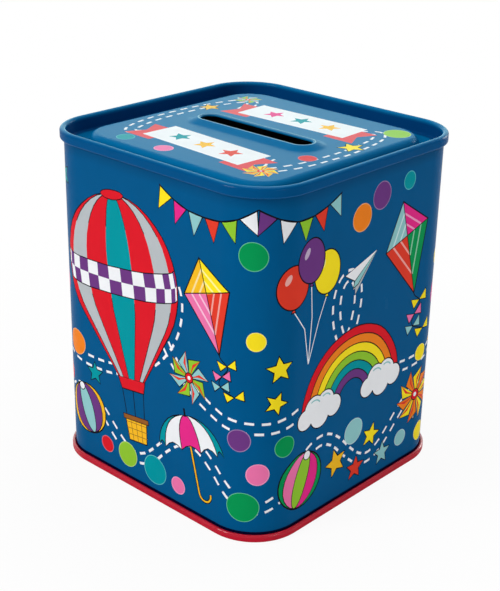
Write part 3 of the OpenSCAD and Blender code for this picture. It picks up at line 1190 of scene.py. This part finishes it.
STAR_SIZES = (4.6, 4.0, 3.5)
DOT_SIZES = (4.3, 3.7, 3.0, 2.4)
DOTS_TO_A_STAR = 1.6
SPRINKLE_DOTS = ("red", "lime", "pink", "teal", "yellow", "magenta", "green", "orange", "aqua", "purple")
SPRINKLE_STARS = ("yellow", "golden", "yellow", "teal", "yellow", "aqua", "scarlet")


def sprinkle(art, room, corner, opposite, tries, gap, rng):
    """Dots and stars wherever the motifs leave room, in turn through their inks."""
    stars = dots = 0
    for _ in range(tries):
        spot = complex(rng.uniform(corner.real, opposite.real), rng.uniform(corner.imag, opposite.imag))
        starry = stars * DOTS_TO_A_STAR < dots
        r = rng.choice(STAR_SIZES) if starry else rng.choice(DOT_SIZES)
        if any(abs(spot - centre) < r + gone + gap for centre, gone in room + art.room):
            continue
        if starry:
            star(art, spot, r, rng.uniform(-30, 30), SPRINKLE_STARS[stars % len(SPRINKLE_STARS)])
            stars += 1
        else:
            dot(art, spot, r, SPRINKLE_DOTS[dots % len(SPRINKLE_DOTS)])
            dots += 1


# How far hand-drawn lines stray, and over what length they do, in millimetres
WOBBLE = 0.3
WOBBLE_LENGTH = 9
WOBBLE_SEED = 9


def by_hand(shapes):
    """Every outline a little uneven, as drawn by hand."""
    noise.seed_set(WOBBLE_SEED)
    found = []
    for shape, ink in shapes:
        drawn = []
        for p in shape:
            shake = noise.noise_vector(Vector((p.real, p.imag, 0)) / WOBBLE_LENGTH)
            drawn.append(p + WOBBLE * complex(shake.x, shake.y))
        found.append((drawn, ink))
    return found


def sleeve_artwork():
    """Trails first, then dots and stars between the motifs, then the motifs."""
    trails, scattered, motifs = Artwork(), Artwork(), Artwork()
    dashed_trails(trails)
    for draw in (front_motifs, right_motifs, back_motifs, left_motifs, bunting_round):
        draw(motifs)
    low = LEFT - QUARTER / 2
    room = motifs.room + [(c + way * 4 * QUARTER, r) for c, r in motifs.room for way in (-1, 1)]
    rng = random.Random(11)
    sprinkle(scattered, room, complex(low + 5, 8), complex(low + 4 * QUARTER - 5, 91), 6000, 1.5, rng)
    return by_hand(trails.shapes + scattered.shapes + motifs.shapes)


def banner(art, at, degrees, inks):
    """A blank white ribbon with cut ends, and a few plain stars on it."""
    put = placed(at, 1, degrees)
    for way in (-1, 1):
        end = [p if way > 0 else -p.conjugate() for p in
               (14 - 8j, 24 - 8.4j, 21.4 - 2.6j, 24.4 + 3j, 14 + 3.4j)]
        art.fill(put(end), tinted("red", 0.15))
    art.fill(put([-19 - 6j, 19 - 6j, 19 + 6j, -19 + 6j]), "white")
    for k, ink in enumerate(inks):
        star(art, put([complex((k - len(inks) / 2 + 0.5) * 10, 0)])[0], 3.4, degrees + 12 * k - 12, ink, 0)
    for x in (-18, -9, 0, 9, 18):
        art.keep_clear(put([complex(x, 0)])[0], 7)


def lid_artwork():
    """Two ribbons among dots, stars and dashes."""
    trails, scattered, art = Artwork(), Artwork(), Artwork()
    dashes(trails, ellipse(-24 + 0j, 6, 24, 40, 320))
    dashes(trails, ellipse(24 + 0j, 6, 24, -140, 140))
    banner(art, 1 + 18.5j, 2, ("magenta", "teal", "golden"))
    banner(art, -1 - 18.5j, -3, ("teal", "golden", "scarlet"))
    pinwheel(art, 25 - 25j, 5, 20, outline=0)
    pinwheel(art, -26 + 25j, 4.4, 0, ("aqua", "lime"), outline=0)
    slot_room = [(complex(x, 0), 7) for x in range(-18, 19, 6)]
    sprinkle(scattered, art.room + slot_room, -29 - 29j, 29 + 29j, 700, 1.2, random.Random(5))
    return by_hand(trails.shapes + scattered.shapes + art.shapes)


# ---- printed films ----


def on_map(across, up):
    """A place on a print's own map, from 0 to 1 each way inside a narrow margin."""
    return complex(across, up) * 0.98 + (0.01 + 0.01j)


def printed_film(name, border, holes, guides, shapes, ground, place, spread, material):
    """Cuts a flat sheet along every printed outline, inks each patch, and wraps it on the tin.

    place gives the point and normal on the tin for a point of the flat sheet; spread gives
    its position on the print's own map.
    """
    loops = [border, *holes, *[shape for shape, ink in shapes]]
    points = [p for loop in loops for p in loop] + [p for guide in guides for p in guide]
    faces = []
    first = 0
    for loop in loops:
        faces.append(list(range(first, first + len(loop))))
        first += len(loop)
    edges = []
    for guide in guides:
        edges += [(first + k, first + k + 1) for k in range(len(guide) - 1)]
        first += len(guide)
    flat = [Vector((p.real, p.imag)) for p in points]
    verts, _, patches, _, _, sources = delaunay_2d_cdt(flat, edges, faces, 0, 1e-4, True)
    kept, inks = [], []
    lead = 1 + len(holes)
    for patch, source in zip(patches, sources):
        if 0 not in source or any(0 < s < lead for s in source):
            continue
        top = max(source)
        kept.append(patch)
        inks.append(shapes[top - lead][1] if top >= lead else ground)
    used = sorted({v for patch in kept for v in patch})
    renumbered = {v: k for k, v in enumerate(used)}
    spots = [place(complex(*verts[v])) for v in used]
    mesh = bpy.data.meshes.new(name)
    mesh.from_pydata(
        [(point + normal * FILM) * MM for point, normal in spots],
        [],
        [[renumbered[v] for v in patch] for patch in kept],
    )
    colours = mesh.attributes.new("ink", "FLOAT_COLOR", "CORNER")
    chart = mesh.uv_layers.new(name="OFBake")
    spread_out = [spread(complex(*verts[v])) for v in used]
    for polygon, ink in zip(mesh.polygons, inks):
        tone = linear(*ink)
        for corner in polygon.loop_indices:
            colours.data[corner].color = tone
            at = spread_out[mesh.loops[corner].vertex_index]
            chart.data[corner].uv = (at.real, at.imag)
    mesh.materials.append(material)
    mesh.shade_smooth()
    mesh.normals_split_custom_set_from_vertices([normal for point, normal in spots])
    return linked(name, mesh)


# The side seam's groove, across from its low side: (distance across, how far the print follows it)
LOCK_DIP = ((0, 0), (1.2, -0.97), (1.32, -0.5), (1.37, -0.3), (1.5, -0.13), (1.85, 0.0))
LOCK_LOW = LOCK_X - LOCK_W - LOCK_STEP - 0.05
LOCK_TIP = LOCK_X - LOCK_W


def wall_place(turns):
    """Wraps the flat print round one wall and half of each corner beside it."""
    straight = STRAIGHT / 2
    turn = Matrix.Rotation(turns * math.pi / 2, 3, "Z")

    def seam_depth(x):
        """How far the print follows the folded seam's groove inwards."""
        across = x - LOCK_LOW
        for (x0, y0), (x1, y1) in zip(LOCK_DIP, LOCK_DIP[1:]):
            if x0 <= across <= x1:
                return y0 + (y1 - y0) * (across - x0) / (x1 - x0)
        return 0.0

    def place(spot):
        x = spot.real
        past = max(0.0, abs(x) - straight)
        bend = past / CORNER_R
        way = math.copysign(1, x)
        normal = Vector((way * math.sin(bend), -math.cos(bend), 0))
        depth = 0.0
        if turns == 2 and LOCK_END < spot.imag < HEIGHT - LOCK_END:
            depth = seam_depth(-x)
        point = Vector((max(-straight, min(straight, x)), -HALF + CORNER_R, 0))
        point += normal * (CORNER_R + depth)
        point.z = spot.imag
        return turn @ point, turn @ normal

    guides = []
    for k in range(CORNER_STEPS // 2 + 1):
        for way in (-1, 1):
            x = way * (straight + CORNER_R * math.pi / 2 * k / CORNER_STEPS)
            guides.append([complex(x, PRINT_LOW - 1), complex(x, PRINT_HIGH + 1)])
    if turns == 2:
        for across, depth in LOCK_DIP:
            x = -(LOCK_LOW + across)
            guides.append([complex(x, PRINT_LOW - 1), complex(x, PRINT_HIGH + 1)])
        for y in (LOCK_END - 0.15, LOCK_END + 0.05, HEIGHT - LOCK_END - 0.05, HEIGHT - LOCK_END + 0.15):
            guides.append([complex(-LOCK_TIP - 1, y), complex(-LOCK_LOW + 0.5, y)])
    return place, guides


def near(shape, low, high):
    """Whether a shape reaches into a span of x."""
    return min(p.real for p in shape) < high and max(p.real for p in shape) > low


def make_wall_prints(material):
    """Four films, each over one wall and half of the corners beside it."""
    shapes = sleeve_artwork()
    half = QUARTER / 2
    border = [
        complex(-half, PRINT_LOW),
        complex(half, PRINT_LOW),
        complex(half, PRINT_HIGH),
        complex(-half, PRINT_HIGH),
    ]
    tall = PRINT_HIGH - PRINT_LOW

    def spread(spot):
        return on_map((spot.real + half) / QUARTER, (spot.imag - PRINT_LOW) / tall)

    made = []
    for turns, name in enumerate(("print_front", "print_right", "print_back", "print_left")):
        here = []
        for shift in (-4 * QUARTER, 0, 4 * QUARTER):
            offset = shift - turns * QUARTER
            for shape, ink in shapes:
                moved = [p + offset for p in shape]
                if near(moved, -half, half):
                    here.append((moved, ink))
        # Painted shade: a dark navy band along the foot of each wall, at the crevice of the base's seam
        foot = complex(half, BASE_SEAM_H + FOOT_SHADE)
        line = [complex(-half, PRINT_LOW), complex(half, PRINT_LOW), foot, -foot.conjugate()]
        here.append((line, INKS["shade_navy"]))
        place, guides = wall_place(turns)
        film = printed_film(name, border, [], guides, here, INKS["ground"], place, spread, material)
        made.append(film)
    return made


def profile_of(path):
    """(distance, height) along the upper face of a step, by rising distance."""
    return sorted((p.real, p.imag) for p in sheet_face(path, -MID))


def height_at(profile, x):
    """Height and slope of a profile at a distance, level beyond its ends."""
    if x <= profile[0][0] or x >= profile[-1][0]:
        return (profile[0] if x <= profile[0][0] else profile[-1])[1], 0.0
    for (x0, y0), (x1, y1) in zip(profile, profile[1:]):
        if x0 <= x <= x1 and x1 > x0:
            return y0 + (y1 - y0) * (x - x0) / (x1 - x0), (y1 - y0) / (x1 - x0)
    return profile[-1][1], 0.0


def rounded_outline(half, r):
    """A rounded square's outline about 0."""
    found = []
    for k, middle in enumerate((1 + 1j, -1 + 1j, -1 - 1j, 1 - 1j)):
        found += arc(middle * (half - r), r, 90 * k, 90 * k + 90, CORNER_STEPS)
    return found


def slot_outline(grow):
    """The slot's outline, grown outwards."""
    r = SLOT_W / 2 + grow
    right = arc(SLOT_STRAIGHT, r, -90, 90, CORNER_STEPS)
    return right + arc(-SLOT_STRAIGHT, r, 90, 270, CORNER_STEPS)


def slot_distance(spot):
    """Distance outwards from the slot's wall."""
    nearest = max(-SLOT_STRAIGHT, min(SLOT_STRAIGHT, spot.real))
    return abs(spot - nearest) - SLOT_W / 2


def foot_distance(spot):
    """Distance inwards from the foot of the panel's edge."""
    half = PANEL_W / 2 + PANEL_RUN
    r = PANEL_R + PANEL_RUN
    dx, dy = abs(spot.real) - (half - r), abs(spot.imag) - (half - r)
    if dx > 0 and dy > 0:
        return r - math.hypot(dx, dy)
    return r - max(dx, dy)


# How far inside the foot of the panel's edge the lid's print begins
LID_INSET = 0.6


def make_lid_print(material):
    """The film on the panel and its sloped edge, with a pale ring of painted highlight along the slot."""
    lip = [(x, y) for x, y in profile_of(LIP) if y > -PANEL_DROP - 0.001]
    crown = max(lip, key=lambda p: p[1])
    lip = [p for p in lip if p[0] >= crown[0]]
    edge = [(-x, y) for x, y in profile_of(PANEL_EDGE)][::-1]
    edge = sorted(p for p in edge if p[1] > -CHANNEL_DEPTH - 0.001)
    foot_half = PANEL_W / 2 + PANEL_RUN

    def height(spot):
        rise, _ = height_at(lip, slot_distance(spot))
        fall, _ = height_at(edge, foot_distance(spot))
        return HEIGHT + rise + fall + PANEL_DROP

    def place(spot):
        small = 0.02
        dx = (height(spot + small) - height(spot - small)) / (2 * small)
        dy = (height(spot + 1j * small) - height(spot - 1j * small)) / (2 * small)
        normal = Vector((-dx, -dy, 1)).normalized()
        return Vector((spot.real, spot.imag, height(spot))), normal

    border = rounded_outline(foot_half - LID_INSET, PANEL_R + PANEL_RUN - LID_INSET)
    hole = slot_outline(crown[0])
    shapes = lid_artwork() + [(slot_outline(crown[0] + SLOT_HIGHLIGHT_WIDTH), SLOT_HIGHLIGHT)]
    guides = []
    for x, y in lip[1:]:
        ring = slot_outline(x)
        guides.append(ring + ring[:1])
    for x, y in edge:
        if x > LID_INSET:
            ring = rounded_outline(foot_half - x, PANEL_R + PANEL_RUN - x)
            guides.append(ring + ring[:1])

    def spread(spot):
        return on_map((spot.real / foot_half + 1) / 2, (spot.imag / foot_half + 1) / 2)

    ground = INKS["lid_ground"]
    return printed_film("print_lid", border, [hole], guides, shapes, ground, place, spread, material)


# ---- the room ----


def make_camera():
    """Seen from the front right, a little above, with a slight tilt of the camera."""
    azimuth, elevation, roll = (math.radians(a) for a in (42.46, 23.17, 1.2))
    distance = 0.3596
    level = math.cos(elevation)
    back = Vector((math.sin(azimuth) * level, -math.cos(azimuth) * level, math.sin(elevation)))
    right = (-back).cross(Vector((0, 0, 1))).normalized()
    up = right.cross(-back)
    tilted_right = right * math.cos(roll) + up * math.sin(roll)
    tilted_up = up * math.cos(roll) - right * math.sin(roll)
    camera = linked("camera", bpy.data.cameras.new("camera"))
    turn = Matrix((tilted_right, tilted_up, back)).transposed().to_4x4()
    target = Vector((0, 0, HEIGHT * MM / 2))
    camera.matrix_world = Matrix.Translation(target + back * distance) @ turn
    camera.data.lens = 74.95
    camera.data.sensor_width = 36
    camera.data.shift_x = -0.0028
    camera.data.shift_y = -0.0043
    camera.data.clip_start = 0.01
    bpy.context.scene.camera = camera


LAMP_AIM = Vector((0, 0, 0.05))


def make_lamp(name, place, size, power):
    """An oblong lamp that faces the middle of the tin; sizes in metres, power in watts."""
    data = bpy.data.lights.new(name, "AREA")
    data.shape = "RECTANGLE"
    data.size, data.size_y = size
    data.energy = power
    lamp = linked(name, data)
    lamp.location = place
    lamp.rotation_euler = (LAMP_AIM - Vector(place)).to_track_quat("-Z", "Y").to_euler()


FLOOR = (244, 244, 244)
# Share of plain white that the camera sees of the floor near the object, and where it ends, in metres
WHITE_NEAR = 0.92
SHADOW_REACH = (0.06, 0.2)
FLOOR_HALF = 3


def make_floor():
    """A pale floor that the camera sees as white, with the object's shadow."""
    material, shader, at = new_material("studio_floor")
    seen = at.out(at.node("ShaderNodeLightPath"), "Is Camera Ray")
    feed(at, shader, Base_Color=linear(*FLOOR), Roughness=0.9, Specular_IOR_Level=0.0)
    away = at.out(at.node("ShaderNodeVectorMath", {"operation": "LENGTH"}, in_0=at), "Value")
    shadowless = away.clipped(*SHADOW_REACH) * (1 - WHITE_NEAR) + WHITE_NEAR
    glow = at.out(at.node("ShaderNodeEmission", None, Color=(1, 1, 1, 1), Strength=1.0))
    mix = at.node("ShaderNodeMixShader", None, in_0=seen * shadowless, in_2=glow)
    at.tree.links.new(shader.outputs[0], mix.inputs[1])
    at.tree.links.new(mix.outputs[0], at.tree.nodes["Material Output"].inputs["Surface"])
    bm = bmesh.new()
    bmesh.ops.create_grid(bm, x_segments=1, y_segments=1, size=FLOOR_HALF / MM)
    floor = finished("studio_floor", bm, [material])


# Light from all sides, and what gloss mirrors of the dim room and of its bright wall
AMBIENT = 0.22
ROOM_GLOSS = 0.15
WALL_GLOSS = 2.8
FAR_WALL = (-0.66, 0.72, 0.22)
WALL_EDGE = (0.3, 0.95)
WALL_TINT = (0.62, 0.95, 0.92, 1)


def make_world():
    """A dim room, white to the camera, with a bright wall behind for what gloss reflects."""
    world = bpy.data.worlds.new("studio")
    bpy.context.scene.world = world
    world.use_nodes = True
    tree = world.node_tree
    place = tree.nodes.new("ShaderNodeTexCoord")
    at = Signal(tree, place.outputs["Generated"])
    facing = at.node("ShaderNodeVectorMath", {"operation": "DOT_PRODUCT"}, in_0=at, in_1=FAR_WALL)
    wall = at.out(facing, "Value").clipped(*WALL_EDGE)
    rays = at.node("ShaderNodeLightPath")
    seen = at.out(rays, "Is Camera Ray")
    mirrored = at.out(rays, "Is Glossy Ray")
    strength = at.math("MAXIMUM", seen, mirrored * (ROOM_GLOSS + WALL_GLOSS * wall))
    strength = at.math("MAXIMUM", strength, AMBIENT)
    background = tree.nodes["Background"]
    tint = mirrored.blend((1, 1, 1, 1), WALL_TINT)
    tree.links.new(tint.socket, background.inputs["Color"])
    tree.links.new(strength.socket, background.inputs["Strength"])
    bpy.context.scene.view_settings.view_transform = "Standard"


# ---- assembly ----

make_camera()
make_world()
make_floor()
make_lamp("key", (-0.4, -1.1, 0.7), (0.5, 0.5), 9.7)
make_lamp("overhead", (0.0, 0.1, 1.1), (0.8, 0.8), 5)
make_lamp("low_side", (0.9, -0.15, 0.07), (0.3, 0.1), 1.4)
make_lamp("edge", (0.15, 1.0, 0.25), (0.3, 0.5), 3)

blue, red, tin, ink = plain_blue(), red_lacquer(), tin_finish("bare_tin"), printed_ink()

top = make_top(blue, tin)
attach(top, "box")
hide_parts("top_end")

base = make_base(red, tin)
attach(base, "box")
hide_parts("base_end")

stopper = make_stopper(stopper_plastic())
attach(stopper, "stopper")
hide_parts("base_stopper")

for wall in make_wall_prints(ink):
    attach(wall, "box")

lid = make_lid_print(ink)
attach(lid, "box")

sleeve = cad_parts["body_sleeve"]
sleeve.data.materials.clear()
sleeve.data.materials.append(tin_finish("sleeve_tin", True))
